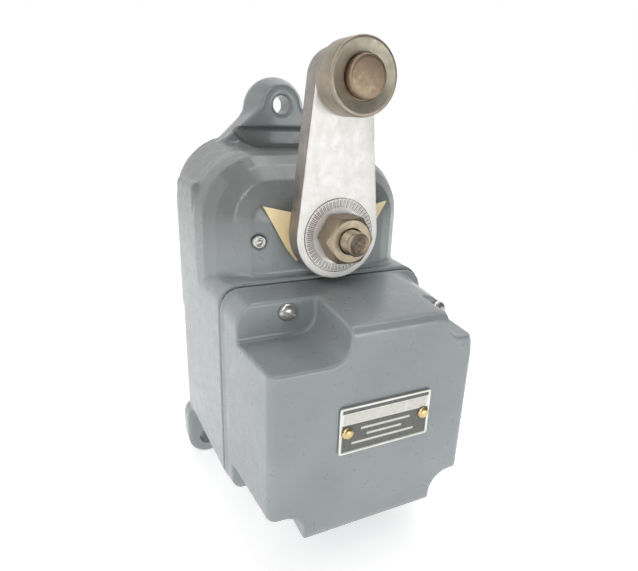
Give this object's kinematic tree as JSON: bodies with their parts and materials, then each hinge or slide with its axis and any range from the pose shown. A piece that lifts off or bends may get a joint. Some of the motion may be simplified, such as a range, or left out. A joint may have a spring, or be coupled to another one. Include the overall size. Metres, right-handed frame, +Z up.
{
  "type": "limit switch",
  "caption": "Heavy-duty limit switch: cast housing with a bolted front cover, a spring-return roller lever on the operating shaft, and sliding double-break contacts inside.",
  "frame": {"origin": "on the back mounting face, where the axis of the operating shaft meets it", "axes": "+Y out of the back mounting face along the shaft axis, +Z up along the lever at rest, +X to the right seen from the front"},
  "size_m": [0.102, 0.1116, 0.198],
  "materials": {
    "cast_enamel": "blue-grey semi-gloss enamel with orange peel over sand-cast iron",
    "black_rubber": "matt black nitrile rubber",
    "zinc_plate": "zinc-plated steel, dulled, with slight rust",
    "lever_zinc": "bright zinc plate on forged steel, slightly mottled",
    "plate_aluminium": "etched aluminium with dark printed fields, lettering left out",
    "brass": "plain brass",
    "fibre": "vulcanised fibre sheet",
    "shaft_steel": "machined steel",
    "nut_steel": "yellow-passivated steel, worn",
    "spring_steel": "oil-tempered spring wire",
    "bronze": "sintered bronze",
    "pin_bronze": "worn bronze-coloured pin head",
    "roller_steel": "turned steel, warm grey with a light oxide",
    "yellow_enamel": "pale yellow enamel on steel sheet",
    "phenolic": "black-brown phenolic moulding",
    "silver": "fine silver contact tips"
  },
  "bodies": {
    "housing_body": {"contact_block": "phenolic", "contact_block_screw_1": "zinc_plate", "contact_block_screw_2": "zinc_plate", "cover": "cast_enamel", "cover_gasket": "black_rubber", "cover_liner": "fibre", "cover_screw_1": "zinc_plate", "cover_screw_2": "zinc_plate", "cover_screw_3": "zinc_plate", "cover_screw_4": "zinc_plate", "direction_plate": "yellow_enamel", "fixed_contact_1": "brass", "fixed_contact_2": "brass", "fixed_contact_3": "brass", "fixed_contact_4": "brass", "fixed_tip_1": "silver", "fixed_tip_2": "silver", "fixed_tip_3": "silver", "fixed_tip_4": "silver", "ground_screw": "brass", "guide_rod_1": "shaft_steel", "guide_rod_2": "shaft_steel", "head_plug": "shaft_steel", "housing": "cast_enamel", "nameplate": "plate_aluminium", "nameplate_pin_1": "brass", "nameplate_pin_2": "brass", "shaft_bushing_front": "bronze", "shaft_bushing_rear": "bronze", "shaft_seal": "black_rubber", "terminal_clamp_1": "zinc_plate", "terminal_clamp_2": "zinc_plate", "terminal_clamp_3": "zinc_plate", "terminal_clamp_4": "zinc_plate", "terminal_screw_1": "brass", "terminal_screw_2": "brass", "terminal_screw_3": "brass", "terminal_screw_4": "brass"},
    "lever_body": {"operating_shaft": "shaft_steel", "lever_arm": "lever_zinc", "lever_lock_washer": "zinc_plate", "lever_nut": "nut_steel", "roller_pin": "pin_bronze", "roller_washer": "zinc_plate", "crank_disc": "shaft_steel", "crank_pin": "shaft_steel", "crank_set_screw": "shaft_steel", "spring_collar": "shaft_steel", "return_spring": "spring_steel"},
    "roller_body": {"roller": "roller_steel", "roller_bushing": "bronze"},
    "carrier_body": {"contact_bridge_1": "brass", "contact_bridge_2": "brass", "contact_carrier": "phenolic", "contact_spring_1": "spring_steel", "contact_spring_2": "spring_steel", "moving_tip_1": "silver", "moving_tip_2": "silver", "moving_tip_3": "silver", "moving_tip_4": "silver"}
  },
  "joints": [
    {"name": "lever_turn", "type": "hinge", "parent": "housing_body", "child": "lever_body", "pos_m": [0, -0.06725, 0], "axis": [0, 1, 0], "range_deg": [-40, 40], "stiffness_Nm_per_rad": 0.9, "deforming": ["return_spring"]},
    {"name": "roller_spin", "type": "hinge", "parent": "lever_body", "child": "roller_body", "pos_m": [0, -0.0793, 0.056], "axis": [0, 1, 0], "continuous": true},
    {"name": "carrier_slide", "type": "slide", "parent": "housing_body", "child": "carrier_body", "axis": [1, 0, 0], "range_m": [-0.0079, 0.0079]}
  ],
  "couplings": [
    {"joint": "carrier_slide", "follows": "lever_turn", "m_per_rad": -0.011049}
  ]
}
